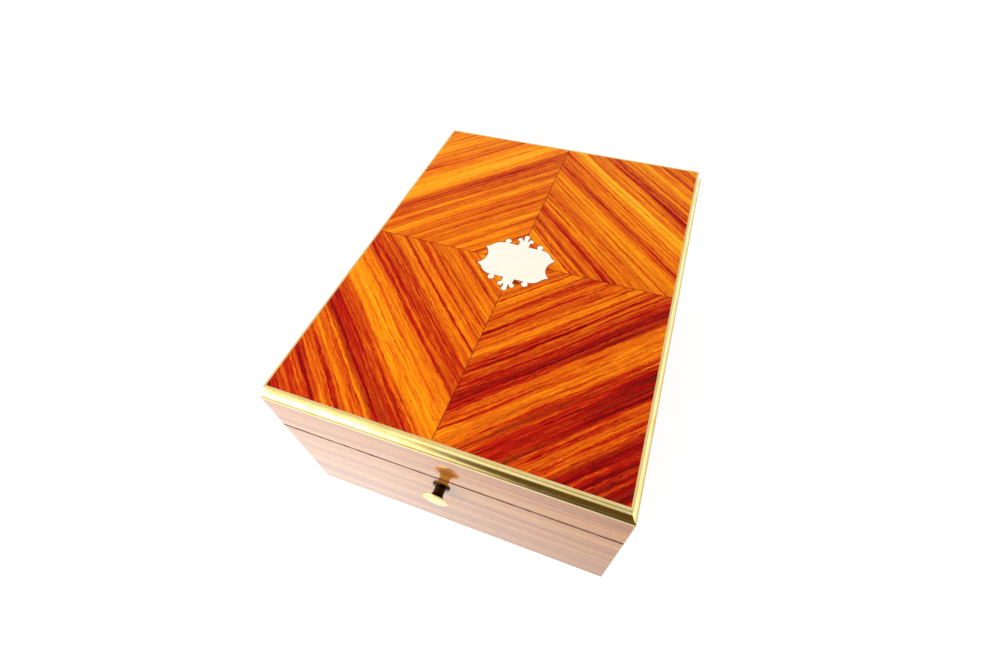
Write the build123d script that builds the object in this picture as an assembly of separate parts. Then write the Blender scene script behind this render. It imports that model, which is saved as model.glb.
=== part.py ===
"""A veneered keepsake box with a hinged lid and a push-button catch, in millimetres.

The origin is the middle of the underside. +X runs to the right along the front, +Y to the back and +Z up.
The front, with the button, faces -Y. The box is built closed.
"""

from build123d import *
import math
import os

# Overall size of the closed box
box_width = 110.0
box_depth = 144.0
box_height = 67.0
lid_height = 22.0
seam_gap = 0.3

# Carcase
board_thickness = 8.0
bottom_thickness = 6.0
bottom_ledge = 4.0
corner_lap = 4.0
lid_panel_thickness = 6.0
veneer_thickness = 1.0

# Velvet-covered card lining
lining_thickness = 1.2
lining_reveal = 1.5
lining_cutout_margin = 0.5

# Coved brass edging of the lid
edging_width = 2.4
edging_height = 5.2
edging_flat = 0.7
edging_lip = 1.1
edging_joint_from_front = 46.0

# Inlaid cartouche, measured across its whole outline
cartouche_width = 26.6
cartouche_tip_spread = 8.7
cartouche_waist = 21.6
cartouche_shoulder_width = 21.8
cartouche_shoulder_depth = 11.4
cartouche_body_width = 14.4
cartouche_body_depth = 16.4
cartouche_flick = 0.25
cartouche_bulge = 0.55
lobe_radius = 1.3
lobe_spread = 11.8
lobe_rise = 0.85
trefoil_radius = 1.15
trefoil_depth = 27.8
trefoil_leaf_radius = 1.05
trefoil_leaf_spread = 4.1
trefoil_leaf_depth = 22.0
trefoil_neck_width = 4.2
trefoil_stem_width = 1.9

# Butt hinges
open_angle = 100.0
bevel_relief = 0.5
hinge_from_side = 25.0
hinge_inset = 3.0
hinge_length = 20.0
hinge_leaf_thickness = 0.8
hinge_leaf_margin = 0.6
knuckle_count = 3
knuckle_radius = 1.5
knuckle_gap = 0.12
knuckle_relief = 0.2
hinge_end_gap = 0.15
hinge_pin_radius = 0.6
hinge_screw_spread = 13.0

# Countersunk holes for small wood screws
screw_head_radius = 1.25
screw_shank_radius = 0.6

# Running clearance of pins in moving pieces
running_fit = 0.05

# Push-button
button_drop = 6.0
button_travel = 1.2
button_head_radius = 4.1
button_bevel = 0.3
button_rim = 0.4
button_stem_radius = 1.7
button_standoff = 5.0
button_flare = 1.95
button_neck_radius = 0.7
button_tip_radius = 1.1
button_tip_rise = 0.4
button_tip_gap = 0.05
collar_flange_radius = 2.9
collar_flange_height = 0.75
collar_taper = 0.6
collar_tail_radius = 2.3
clip_size = 4.4
clip_groove_radius = 0.9
clip_thickness = 0.5
clip_gap = 0.05
clip_grip = 0.3

# Catch behind the button, listed from the inner face of the front board outwards
catch_plate_thickness = 0.8
lever_back_clearance = 0.25
lever_thickness = 1.2
strike_clearance = 0.2
tongue_thickness = 1.0
nose_overreach = 0.2
mortise_clearance = 0.5

# Catch, across and up
catch_width = 22.0
catch_plate_foot = 3.0
catch_screw_spread = 16.4
catch_screw_drop = 13.0
selvedge_margin = 0.6
lever_width = 5.0
lever_side_gap = 0.15
lever_pivot_drop = 18.0
lever_barrel_radius = 1.8
lever_pin_radius = 0.8
ear_thickness = 0.8
mortise_side_gap = 0.8
mortise_foot = 0.6
nose_height = 0.9
nose_slope = 0.45
nose_gap = 0.25
spring_thickness = 0.35
spring_width = 4.0
spring_foot = 4.0
spring_reach = 6.0
spring_tail = 2.0
spring_tip_radius = 0.5
spring_start = 3.2
spring_bend_radius = 1.4
rivet_radius = 0.6
rivet_head_radius = 1.1
rivet_head_height = 0.45

# Strike on the lid
strike_width = 18.0
strike_margin = 1.9
strike_screw_spread = 13.4
tongue_width = 9.0
tongue_bar = 1.0
tongue_corner = 0.9
window_clearance = 0.2
slot_clearance = 0.35

# Levels
seam_level = box_height - lid_height
rim_level = seam_level - seam_gap / 2
lid_level = seam_level + seam_gap / 2
panel_top = box_height - veneer_thickness
panel_level = panel_top - lid_panel_thickness
edging_level = box_height - edging_height

# Plan sizes, as distances from the middle
half_width = box_width / 2
half_depth = box_depth / 2
core_x = half_width - veneer_thickness
core_y = half_depth - veneer_thickness
inner_x = core_x - board_thickness
inner_y = core_y - board_thickness
field_x = half_width - edging_width
field_y = half_depth - edging_width
lined_x = inner_x - lining_thickness
lined_y = inner_y - lining_thickness

# Hinge line
hinge_y = half_depth - hinge_inset
bevel_angle = open_angle / 2 + bevel_relief
knuckle_clear_radius = knuckle_radius + knuckle_relief
leaf_back = inner_y + hinge_leaf_margin

# Catch levels
selvedge_level = rim_level - catch_plate_thickness
nose_top = selvedge_level - nose_gap
nose_bottom = nose_top - nose_height
tongue_end = nose_bottom - window_clearance - tongue_bar
pivot_z = seam_level - lever_pivot_drop
mortise_level = pivot_z - lever_barrel_radius - mortise_foot
plate_level = mortise_level - catch_plate_foot
button_z = seam_level - button_drop
mortise_x = tongue_width / 2 + mortise_side_gap

# Catch faces, along Y
lever_swing = button_travel / (button_z - pivot_z)
lever_room = (nose_top - pivot_z) * math.tan(lever_swing) + lever_back_clearance
plate_front = -inner_y - catch_plate_thickness
lever_back = plate_front - lever_room
lever_front = lever_back - lever_thickness
tongue_back = lever_front - strike_clearance
tongue_front = tongue_back - tongue_thickness
nose_tip = tongue_front - nose_overreach
mortise_front = nose_tip - mortise_clearance
selvedge_front = mortise_front - selvedge_margin
pivot_y = (lever_front + lever_back) / 2

nodes = {}


def block(x_range, y_range, z_range):
    """A rectangular block between pairs of faces."""
    corner = Pos(x_range[0], y_range[0], z_range[0])
    size = [top - bottom for bottom, top in (x_range, y_range, z_range)]
    return corner * Box(*size, align=(Align.MIN, Align.MIN, Align.MIN))


def bar_along_x(section, x_range):
    """A section drawn as (y, z), run along X between two faces."""
    length = x_range[1] - x_range[0]
    return Pos(x_range[0], 0, 0) * extrude(Plane.YZ * section, length)


def outline(*edges):
    """A face inside a closed chain of edges."""
    return make_face(Curve() + list(edges))


def bowed(start, end, rise):
    """An arc from start to end that rises to the left of its chord, or to the right if negative."""
    share = rise / math.dist(start, end)
    middle_x = (start[0] + end[0]) / 2 - share * (end[1] - start[1])
    middle_y = (start[1] + end[1]) / 2 + share * (end[0] - start[0])
    return ThreePointArc(start, (middle_x, middle_y), end)


def cut_all(shape, cutters):
    """A shape less every cutter."""
    for cutter in cutters:
        shape = shape - cutter
    return shape


def turned(section, level):
    """A piece turned about a line along Y at the given level, from a section drawn as (radius, y)."""
    return Pos(0, 0, level) * revolve(Plane.XY * section, Axis.Y, 360)


def screw_hole(place, thickness):
    """A countersunk hole right through a plate, with its wide end in the face at the place."""
    return place * Cone(
        screw_shank_radius,
        screw_head_radius,
        thickness,
        align=(Align.CENTER, Align.CENTER, Align.MAX),
    )


# Hinge places
hinge_x = half_width - hinge_from_side
hinge_centres = {"left": -hinge_x, "right": hinge_x}
hinge_screw_y = (leaf_back + hinge_y - knuckle_clear_radius) / 2
hinge_screw_x = [
    centre + side * hinge_screw_spread / 2 for centre in hinge_centres.values() for side in (-1, 1)
]
facing_down = Rot(180, 0, 0)
facing_back = Rot(-90, 0, 0)

base_hinge_holes = [
    screw_hole(Pos(x, hinge_screw_y, rim_level), hinge_leaf_thickness) for x in hinge_screw_x
]
lid_hinge_holes = [
    screw_hole(Pos(x, hinge_screw_y, lid_level) * facing_down, hinge_leaf_thickness)
    for x in hinge_screw_x
]


def bevel_wedge(direction):
    """What is cut from the back edge of the lid (+1) or the base (-1) so that they meet when open."""
    reach = hinge_inset * 2
    rise = reach * math.tan(math.radians(bevel_angle))
    section = make_face(
        Polyline(
            (hinge_y, seam_level),
            (hinge_y + reach, seam_level + direction * rise),
            (hinge_y + reach, seam_level - direction * rise),
            close=True,
        )
    )
    return bar_along_x(section, (-box_width, box_width))


def hinge_recesses(direction):
    """Room for the leaves and knuckles in the rim of the lid (+1) or the base (-1)."""
    rim = lid_level if direction > 0 else rim_level
    floor = rim + direction * hinge_leaf_thickness
    cutters = []
    for centre in hinge_centres.values():
        leaf_end = hinge_length / 2
        leaf_room = (centre - leaf_end, centre + leaf_end)
        cutters.append(block(leaf_room, (leaf_back, hinge_y), sorted((rim, floor))))
        barrel_end = leaf_end + hinge_end_gap
        barrel_room = (centre - barrel_end, centre + barrel_end)
        barrel = Pos(hinge_y, seam_level) * Circle(knuckle_clear_radius)
        cutters.append(bar_along_x(barrel, barrel_room))
    return cutters


base_back_cuts = [bevel_wedge(-1)] + hinge_recesses(-1)
lid_back_cuts = [bevel_wedge(1)] + hinge_recesses(1)


# Front cuts: the catch's mortise, its plate and the hole for the collar
catch_recess = [
    block((-mortise_x, mortise_x), (mortise_front, -inner_y), (mortise_level, rim_level)),
    block(
        (-catch_width / 2, catch_width / 2),
        (plate_front, -inner_y),
        (plate_level, rim_level),
    ),
    block(
        (-catch_width / 2, catch_width / 2),
        (selvedge_front, -inner_y),
        (selvedge_level, rim_level),
    ),
]
collar_hole = Pos(0, 0, button_z) * Rot(90, 0, 0) * Cylinder(collar_tail_radius, box_depth)
front_half = block((-half_width, half_width), (-half_depth, 0), (0, box_height))
collar_hole = collar_hole & front_half
strike_recess = block(
    (-strike_width / 2, strike_width / 2),
    (tongue_front - strike_margin, tongue_back + strike_margin),
    (lid_level, lid_level + catch_plate_thickness),
)


def frame_boards(prefix, suffix, z_range, front_cuts, back_cuts, other_cuts):
    """Four boards, the side ones lapped into rebates in the ends of the front and back ones."""
    lap_y = core_y - board_thickness + corner_lap
    sides = {
        "left": block((-core_x, -inner_x), (-lap_y, lap_y), z_range),
        "right": block((inner_x, core_x), (-lap_y, lap_y), z_range),
    }
    front = block((-core_x, core_x), (-core_y, -inner_y), z_range)
    back = block((-core_x, core_x), (inner_y, core_y), z_range)
    lapped = list(sides.values())
    nodes[f"{prefix}_front_{suffix}"] = cut_all(front, lapped + front_cuts + other_cuts)
    nodes[f"{prefix}_back_{suffix}"] = cut_all(back, lapped + back_cuts + other_cuts)
    for name, side in sides.items():
        nodes[f"{prefix}_{name}_{suffix}"] = cut_all(side, back_cuts + other_cuts)


def side_veneers(prefix, z_range, front_cuts, back_cuts):
    """Four veneers, the front and back ones covering the edges of the side ones."""
    sheets = {
        "front": block((-half_width, half_width), (-half_depth, -core_y), z_range),
        "back": block((-half_width, half_width), (core_y, half_depth), z_range),
        "left": block((-half_width, -core_x), (-core_y, core_y), z_range),
        "right": block((core_x, half_width), (-core_y, core_y), z_range),
    }
    for name, sheet in sheets.items():
        cuts = front_cuts if name == "front" else back_cuts
        nodes[f"{prefix}_{name}_veneer"] = cut_all(sheet, cuts)


def wall_linings(prefix, z_range, front_cuts):
    """Four lining cards, the side ones between the front and back ones."""
    front = block((-inner_x, inner_x), (-inner_y, -lined_y), z_range)
    nodes[f"{prefix}_front_lining"] = cut_all(front, front_cuts)
    nodes[f"{prefix}_back_lining"] = block((-inner_x, inner_x), (lined_y, inner_y), z_range)
    nodes[f"{prefix}_left_lining"] = block((-inner_x, -lined_x), (-lined_y, lined_y), z_range)
    nodes[f"{prefix}_right_lining"] = block((lined_x, inner_x), (-lined_y, lined_y), z_range)


# Base
bottom_x = inner_x + bottom_ledge
bottom_y = inner_y + bottom_ledge
bottom_board = block((-bottom_x, bottom_x), (-bottom_y, bottom_y), (0, bottom_thickness))
nodes["base_bottom_board"] = bottom_board
frame_boards(
    "base",
    "board",
    (0, rim_level),
    catch_recess + [collar_hole],
    base_back_cuts,
    [bottom_board],
)
side_veneers("base", (0, rim_level), [collar_hole], base_back_cuts)
floor_top = bottom_thickness + lining_thickness
nodes["base_floor_lining"] = block(
    (-inner_x, inner_x), (-inner_y, inner_y), (bottom_thickness, floor_top)
)
plate_window = block(
    (-catch_width / 2 - lining_cutout_margin, catch_width / 2 + lining_cutout_margin),
    (-inner_y, -lined_y),
    (plate_level - lining_cutout_margin, rim_level),
)
wall_linings("base", (floor_top, rim_level - lining_reveal), [plate_window])

# Lid frame and panel
frame_boards("lid", "rail", (lid_level, panel_level), [strike_recess], lid_back_cuts, [])
side_veneers("lid", (lid_level, edging_level), [], lid_back_cuts)
nodes["lid_panel"] = block(
    (-core_x, core_x), (-core_y, core_y), (panel_level, edging_level)
) + block((-field_x, field_x), (-field_y, field_y), (edging_level, panel_top))
lid_lining_level = panel_level - lining_thickness
nodes["lid_top_lining"] = block(
    (-inner_x, inner_x), (-inner_y, inner_y), (lid_lining_level, panel_level)
)
wall_linings("lid", (lid_level + lining_reveal, lid_lining_level), [])


def cartouche_face():
    """The inlay's outline: four pointed tips, hollow ends, and a trefoil between two lobes on each side."""
    waist = (cartouche_waist / 2, 0)
    tip = (cartouche_width / 2, cartouche_tip_spread / 2)
    shoulder = (cartouche_shoulder_width / 2, cartouche_shoulder_depth / 2)
    body_corner = (cartouche_body_width / 2, cartouche_body_depth / 2)
    body_top = (0, cartouche_body_depth / 2)
    hollow = ThreePointArc((tip[0], -tip[1]), waist, tip)
    half = outline(
        hollow,
        bowed(tip, shoulder, cartouche_flick),
        bowed(shoulder, body_corner, -cartouche_bulge),
        Line(body_corner, body_top),
        Line(body_top, (0, -body_top[1])),
        Line((0, -body_top[1]), (body_corner[0], -body_corner[1])),
        bowed((body_corner[0], -body_corner[1]), (shoulder[0], -shoulder[1]), -cartouche_bulge),
        bowed((shoulder[0], -shoulder[1]), (tip[0], -tip[1]), cartouche_flick),
    )
    face = half + mirror(half, about=Plane.YZ)
    leaf_y = trefoil_leaf_depth / 2
    bud_y = trefoil_depth / 2 - trefoil_radius
    lobes = [
        Rectangle(trefoil_neck_width, leaf_y, align=(Align.CENTER, Align.MIN)),
        Rectangle(trefoil_stem_width, bud_y, align=(Align.CENTER, Align.MIN)),
        Pos(0, bud_y) * Circle(trefoil_radius),
    ]
    for side in (-1, 1):
        lobe_y = cartouche_body_depth / 2 + lobe_rise
        lobes.append(Pos(side * lobe_spread / 2, lobe_y) * Circle(lobe_radius))
        lobes.append(Pos(side * trefoil_leaf_spread / 2, leaf_y) * Circle(trefoil_leaf_radius))
    for lobe in lobes:
        face = face + lobe
        face = face + mirror(lobe, about=Plane.XZ)
    return face


cartouche = Pos(0, 0, panel_top) * extrude(cartouche_face(), veneer_thickness)
nodes["lid_cartouche"] = cartouche

# Top veneers, four quarters matched about the middle and cut round the cartouche
for y_name, y_range in (("front", (-field_y, 0)), ("back", (0, field_y))):
    for x_name, x_range in (("left", (-field_x, 0)), ("right", (0, field_x))):
        quarter = block(x_range, y_range, (panel_top, box_height))
        nodes[f"lid_top_{y_name}_{x_name}_veneer"] = quarter - cartouche


def edging_strip(length, outer):
    """A coved strip with mitred ends, running along Y with its outer face at x = outer."""
    inner = outer - edging_width
    cove_start = (inner + edging_flat, box_height)
    cove_end = (outer, edging_level + edging_lip)
    drop = cove_start[1] - cove_end[1]
    run = cove_end[0] - cove_start[0]
    ease = math.sqrt(0.5)
    cove_middle = (outer - run * ease, box_height - drop * ease)
    section = outline(
        Line((inner, edging_level), (inner, box_height)),
        Line((inner, box_height), cove_start),
        ThreePointArc(cove_start, cove_middle, cove_end),
        Line(cove_end, (outer, edging_level)),
        Line((outer, edging_level), (inner, edging_level)),
    )
    strip = extrude(Plane.XZ * section, length / 2, both=True)
    short_end = length / 2 - edging_width
    plan = make_face(
        Polyline(
            (inner, -short_end),
            (outer, -length / 2),
            (outer, length / 2),
            (inner, short_end),
            close=True,
        )
    )
    return strip & (Pos(0, 0, edging_level) * extrude(plan, edging_height))


side_strip = edging_strip(box_depth, half_width)
end_strip = edging_strip(box_width, half_depth)
nodes["lid_left_edging"] = Rot(0, 0, 180) * side_strip
nodes["lid_back_edging"] = Rot(0, 0, 90) * end_strip
nodes["lid_front_edging"] = Rot(0, 0, -90) * end_strip
edging_joint = edging_joint_from_front - half_depth
strip_room = (edging_level, box_height)
nodes["lid_right_front_edging"] = side_strip & block(
    (0, half_width), (-half_depth, edging_joint), strip_room
)
nodes["lid_right_back_edging"] = side_strip & block(
    (0, half_width), (edging_joint, half_depth), strip_room
)


def hinge_leaf(centre, direction, holes):
    """A leaf with its share of the knuckles, for the lid (+1) or the base (-1)."""
    rim = lid_level if direction > 0 else rim_level
    z_range = sorted((rim, rim + direction * hinge_leaf_thickness))
    left = centre - hinge_length / 2
    pitch = hinge_length / knuckle_count
    leaf = block(
        (left, left + hinge_length), (leaf_back, hinge_y - knuckle_clear_radius), z_range
    )
    first = 1 if direction > 0 else 0
    bore = hinge_pin_radius + (running_fit if direction > 0 else 0)
    for index in range(first, knuckle_count, 2):
        start = left + index * pitch + (knuckle_gap / 2 if index > 0 else 0)
        end = left + (index + 1) * pitch - (knuckle_gap / 2 if index < knuckle_count - 1 else 0)
        web = block((start, end), (leaf_back, hinge_y), z_range)
        barrel = bar_along_x(Pos(hinge_y, seam_level) * Circle(knuckle_radius), (start, end))
        leaf = leaf + web + barrel
    pin_hole = bar_along_x(
        Pos(hinge_y, seam_level) * Circle(bore), (left, left + hinge_length)
    )
    return cut_all(leaf, [pin_hole] + holes)


for side_name, centre in hinge_centres.items():
    nodes[f"hinge_{side_name}_base_leaf"] = hinge_leaf(centre, -1, base_hinge_holes)
    nodes[f"hinge_{side_name}_lid_leaf"] = hinge_leaf(centre, 1, lid_hinge_holes)
    nodes[f"hinge_{side_name}_pin"] = bar_along_x(
        Pos(hinge_y, seam_level) * Circle(hinge_pin_radius),
        (centre - hinge_length / 2, centre + hinge_length / 2),
    )


# Catch plate: a bent plate with a slotted selvedge and two ears for the lever's pin
ear_x = lever_width / 2 + lever_side_gap
plate_section = make_face(
    Polyline(
        (-inner_y, plate_level),
        (-inner_y, rim_level),
        (selvedge_front, rim_level),
        (selvedge_front, selvedge_level),
        (plate_front, selvedge_level),
        (plate_front, plate_level),
        close=True,
    )
)
catch_plate = bar_along_x(plate_section, (-catch_width / 2, catch_width / 2))
tongue_slot = block(
    (-tongue_width / 2 - slot_clearance, tongue_width / 2 + slot_clearance),
    (tongue_front - slot_clearance, tongue_back + slot_clearance),
    (selvedge_level, rim_level),
)
ear_end = pivot_y - lever_barrel_radius
ear_shoulder = pivot_y - lever_barrel_radius / 2
ear_section = make_face(
    Polyline(
        (plate_front, pivot_z - lever_barrel_radius),
        (ear_shoulder, pivot_z - lever_barrel_radius),
        (ear_end, pivot_z - lever_barrel_radius / 2),
        (ear_end, pivot_z + lever_barrel_radius / 2),
        (ear_shoulder, pivot_z + lever_barrel_radius),
        (plate_front, pivot_z + lever_barrel_radius),
        close=True,
    )
)
ear_section = ear_section - Pos(pivot_y, pivot_z) * Circle(lever_pin_radius)
for x_range in ((-ear_x - ear_thickness, -ear_x), (ear_x, ear_x + ear_thickness)):
    catch_plate = catch_plate + bar_along_x(ear_section, x_range)
rivet_z = pivot_z + spring_start + spring_foot / 2
rivet_hole = Pos(0, plate_front, rivet_z) * Rot(90, 0, 0) * Cylinder(
    rivet_radius, 2 * catch_plate_thickness
)
catch_holes = [
    screw_hole(Pos(x, -inner_y, seam_level - catch_screw_drop) * facing_back, catch_plate_thickness)
    for x in (-catch_screw_spread / 2, catch_screw_spread / 2)
]
nodes["catch_plate"] = cut_all(catch_plate, [tongue_slot, rivet_hole] + catch_holes)
nodes["catch_pivot_pin"] = bar_along_x(
    Pos(pivot_y, pivot_z) * Circle(lever_pin_radius),
    (-ear_x - ear_thickness, ear_x + ear_thickness),
)

# Catch lever: an upright arm on a barrel, with a sloped nose that hooks into the strike
lever_section = make_face(
    Polyline(
        (lever_front, pivot_z),
        (lever_front, nose_bottom),
        (nose_tip, nose_bottom),
        (nose_tip, nose_top - nose_slope),
        (lever_front, nose_top),
        (lever_back, nose_top),
        (lever_back, pivot_z),
        close=True,
    )
) + Pos(pivot_y, pivot_z) * Circle(lever_barrel_radius)
lever_section = lever_section - Pos(pivot_y, pivot_z) * Circle(lever_pin_radius + running_fit)
nodes["catch_lever"] = bar_along_x(lever_section, (-lever_width / 2, lever_width / 2))

# Leaf spring behind the lever, riveted to the plate by its foot
spring_y = plate_front - spring_thickness / 2
spring_tip_y = lever_back + spring_thickness / 2 + running_fit
spring_z = pivot_z + spring_start
spring_path = FilletPolyline(
    (spring_y, spring_z),
    (spring_y, spring_z + spring_foot),
    (spring_tip_y, spring_z + spring_foot + spring_reach),
    (spring_y, spring_z + spring_foot + spring_reach + spring_tail),
    radius=[spring_bend_radius, spring_tip_radius],
)
spring_side = trace(spring_path, spring_thickness)
catch_spring = bar_along_x(spring_side, (-spring_width / 2, spring_width / 2))
nodes["catch_spring"] = catch_spring - rivet_hole
rivet_head_back = plate_front - spring_thickness
rivet_head_front = rivet_head_back - rivet_head_height
rivet_section = make_face(
    Polyline(
        (0, -inner_y),
        (rivet_radius, -inner_y),
        (rivet_radius, rivet_head_back),
        (rivet_head_radius, rivet_head_back),
        (rivet_head_radius, rivet_head_front),
        (0, rivet_head_front),
        close=True,
    )
)
nodes["catch_spring_rivet"] = turned(rivet_section, rivet_z)

# Strike: a plate let into the lid's rim, with a tongue whose window takes the lever's nose
tongue_x = tongue_width / 2
tongue_plan = make_face(
    Polyline(
        (-tongue_x, lid_level),
        (-tongue_x, tongue_end + tongue_corner),
        (-tongue_x + tongue_corner, tongue_end),
        (tongue_x - tongue_corner, tongue_end),
        (tongue_x, tongue_end + tongue_corner),
        (tongue_x, lid_level),
        close=True,
    )
)
tongue = Pos(0, tongue_back, 0) * extrude(Plane.XZ * tongue_plan, tongue_thickness)
window_x = lever_width / 2 + window_clearance
tongue_window = block(
    (-window_x, window_x),
    (tongue_front, tongue_back),
    (nose_bottom - window_clearance, nose_top + window_clearance),
)
strike_y = (tongue_front + tongue_back) / 2
strike_holes = [
    screw_hole(Pos(x, strike_y, lid_level) * facing_down, catch_plate_thickness)
    for x in (-strike_screw_spread / 2, strike_screw_spread / 2)
]
nodes["strike_plate"] = cut_all(strike_recess + tongue, [tongue_window] + strike_holes)

# Collar pressed into the front, in which the button slides
collar_bore = button_stem_radius + running_fit
collar_face = -half_depth - collar_flange_height
collar_crown = collar_flange_radius - collar_taper
collar_section = make_face(
    Polyline(
        (collar_bore, mortise_front),
        (collar_bore, collar_face),
        (collar_crown, collar_face),
        (collar_flange_radius, -half_depth),
        (collar_tail_radius, -half_depth),
        (collar_tail_radius, mortise_front),
        close=True,
    )
)
nodes["button_collar"] = turned(collar_section, button_z)

# Push-button: a flared head on a stem, with a groove for the clip that keeps it in
face_y = -half_depth - button_standoff
rim_front = face_y + button_bevel
rim_back = rim_front + button_rim
neck_y = rim_back + button_flare
clip_front = mortise_front + clip_gap
clip_back = clip_front + clip_thickness
tip_y = lever_front - button_tip_gap
tip_shoulder = tip_y - button_tip_rise
neck_corner = (button_stem_radius, neck_y)
button_section = make_face(
    Polyline(
        (0, face_y),
        (button_head_radius - button_bevel, face_y),
        (button_head_radius, rim_front),
        (button_head_radius, rim_back),
        neck_corner,
        (button_stem_radius, clip_front),
        (clip_groove_radius, clip_front),
        (clip_groove_radius, clip_back),
        (button_tip_radius, clip_back),
        (button_tip_radius, tip_shoulder),
        (0, tip_y),
        close=True,
    )
)
neck = button_section.vertices().sort_by_distance(neck_corner)[0]
button_section = fillet(neck, button_neck_radius)
nodes["push_button"] = turned(button_section, button_z)
clip_plan = Rectangle(clip_size, clip_size) - Circle(clip_groove_radius)
clip_mouth = Rectangle(
    2 * clip_groove_radius - clip_grip, clip_size, align=(Align.CENTER, Align.MAX)
)
clip_plan = clip_plan - clip_mouth
nodes["button_clip"] = Pos(0, clip_back, button_z) * extrude(Plane.XZ * clip_plan, clip_thickness)

os.makedirs("parts", exist_ok=True)
for name, shape in nodes.items():
    export_step(shape, f"parts/{name}.step")
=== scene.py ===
import math
from collections import namedtuple

import bmesh
import bpy
from mathutils import Matrix, Vector


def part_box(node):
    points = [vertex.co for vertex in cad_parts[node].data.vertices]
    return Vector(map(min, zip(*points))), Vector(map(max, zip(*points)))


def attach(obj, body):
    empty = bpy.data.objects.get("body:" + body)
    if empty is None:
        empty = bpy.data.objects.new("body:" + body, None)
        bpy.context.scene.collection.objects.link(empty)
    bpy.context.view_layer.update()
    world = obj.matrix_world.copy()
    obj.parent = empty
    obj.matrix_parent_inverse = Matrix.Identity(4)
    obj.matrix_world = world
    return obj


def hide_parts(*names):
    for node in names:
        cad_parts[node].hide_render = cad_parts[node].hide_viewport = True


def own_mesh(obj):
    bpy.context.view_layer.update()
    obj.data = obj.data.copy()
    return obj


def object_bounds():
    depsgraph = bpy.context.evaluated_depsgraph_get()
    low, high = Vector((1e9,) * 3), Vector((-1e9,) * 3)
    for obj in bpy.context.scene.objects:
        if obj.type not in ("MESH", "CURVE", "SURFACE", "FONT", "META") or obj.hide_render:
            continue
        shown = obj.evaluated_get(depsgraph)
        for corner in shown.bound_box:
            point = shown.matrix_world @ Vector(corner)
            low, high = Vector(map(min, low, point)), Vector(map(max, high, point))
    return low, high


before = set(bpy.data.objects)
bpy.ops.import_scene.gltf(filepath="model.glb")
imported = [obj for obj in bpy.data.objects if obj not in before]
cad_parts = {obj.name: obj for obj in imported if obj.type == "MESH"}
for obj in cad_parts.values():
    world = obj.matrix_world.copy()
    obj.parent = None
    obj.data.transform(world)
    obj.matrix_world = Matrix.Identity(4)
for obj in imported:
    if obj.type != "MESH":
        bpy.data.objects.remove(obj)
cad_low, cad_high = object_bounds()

MM = 0.001


def tint(red, green, blue):
    """A colour as it looks on screen, 0 to 255, made linear for a shader."""
    linear = []
    for part in (red / 255, green / 255, blue / 255):
        linear.append(part / 12.92 if part <= 0.04045 else ((part + 0.055) / 1.055) ** 2.4)
    return (*linear, 1.0)


def grey(level):
    """A grey, from black at 0 to white at 1, also for a ramp that gives a plain number."""
    return (level, level, level, 1.0)


# The photograph's viewpoint
CAMERA_PLACE = Vector((38.85, -112.59, 184.90)) * MM
CAMERA_AZIMUTH = math.radians(22.35)
CAMERA_ELEVATION = math.radians(53.10)
CAMERA_ROLL = math.radians(-3.10)
CAMERA_LENS = 17.36
CAMERA_SENSOR = 36.0
CAMERA_NEAR = 10 * MM

# Studio, in metres, with the fade of the dark card in squares of its reach
FLOOR_REACH = 4.0
FLOOR_GLOW = 0.87
FLOOR_SHADE = 0.25
FLOOR_BOUNCE = 0.55
SKY_LIGHT = 0.66
SKY_DIM = 0.75
SKY_DIM_FROM = math.radians(10)
SKY_DIM_AT = math.radians(36)
SOFTBOX_PLACE = Vector((-0.36, -0.34, 0.3))
SOFTBOX_AIM = Vector((0.0, -0.03, 0.04))
SOFTBOX_SIZE = (0.8, 0.8)
SOFTBOX_POWER = 5.5
DARK_CARD_PLACE = Vector((0.05, -0.2, 0.08))
DARK_CARD_SIZE = (0.3, 0.24)
DARK_CARD_FADE = {"low": 0.2, "high": 1.0, "start": 1.0, "end": 0.0}
DARK_FELT = tint(108, 84, 20)

# How bright the floor mirrors along X, in millimetres: dimmer before the box's right end, white beyond it
FLOOR_FADE = {"low": -35, "high": 60, "start": 1.0, "end": 0.42}
FLOOR_RISE = {"low": 65, "high": 100, "start": 0.42, "end": 1.0}

# Veneer on the lid's top, in millimetres: four leaves of one log, mirrored about the middle
GRAIN_ANGLE = math.radians(44)
LEAF_REACH = 90.0
JOINT_FADE = {"low": 0.08, "high": 0.24, "start": 0.7, "end": 0.0}

# A chip beside the inlay, in millimetres, with its ragged edge and fade in squares of its reach
CHIPPED_LEAF = "front_right"
CHIP_PLACE = (3.2, -9.3)
CHIP_SIZE = (2.3, 0.9)
CHIP_GRIT = 0.5
CHIP_RAGGED = 0.9
CHIP_FADE = {"low": 0.75, "high": 1.15, "start": 1.0, "end": 0.0}

# Painted shade along the seam between lid and base, and rubbed edges of the sides, in millimetres
SEAM_LEVEL = (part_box("lid_front_veneer")[0].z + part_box("base_front_veneer")[1].z) / 2 / MM
SEAM_SHADE_REACH = 0.65
SEAM_CORE = 0.39
SEAM_RAGGED = 0.4
EDGE_WEAR = 0.5

# Darker band at the foot of the edging's cove, in millimetres
COVE_RISE = 1.15
COVE_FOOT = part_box("lid_front_edging")[0].z / MM + COVE_RISE
COVE_DARK_REACH = 0.3
COVE_CORE = 0.15

# Painted shade and dark reflection on the button's neck behind its head, along Y in millimetres
HEAD_DEPTH = 0.95
NECK_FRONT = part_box("push_button")[0].y / MM + HEAD_DEPTH
NECK_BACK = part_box("base_front_veneer")[0].y / MM
NECK_FADE = 0.2

# Velvet cards
VELVET_ROLL = 0.45 * MM
VELVET_ROLL_STEPS = 4
CATCH_MARGIN = 0.5 * MM

# Wax line round the inlay, in millimetres
WAX_WIDTH = 0.2
WAX_DEPTH = 0.06

# Meshes of the new pieces
TURN_STEPS = 96
CURVE_STEPS = 14
MERGE_REACH = 1e-7
SHARP_ANGLE = math.radians(35)

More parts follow.
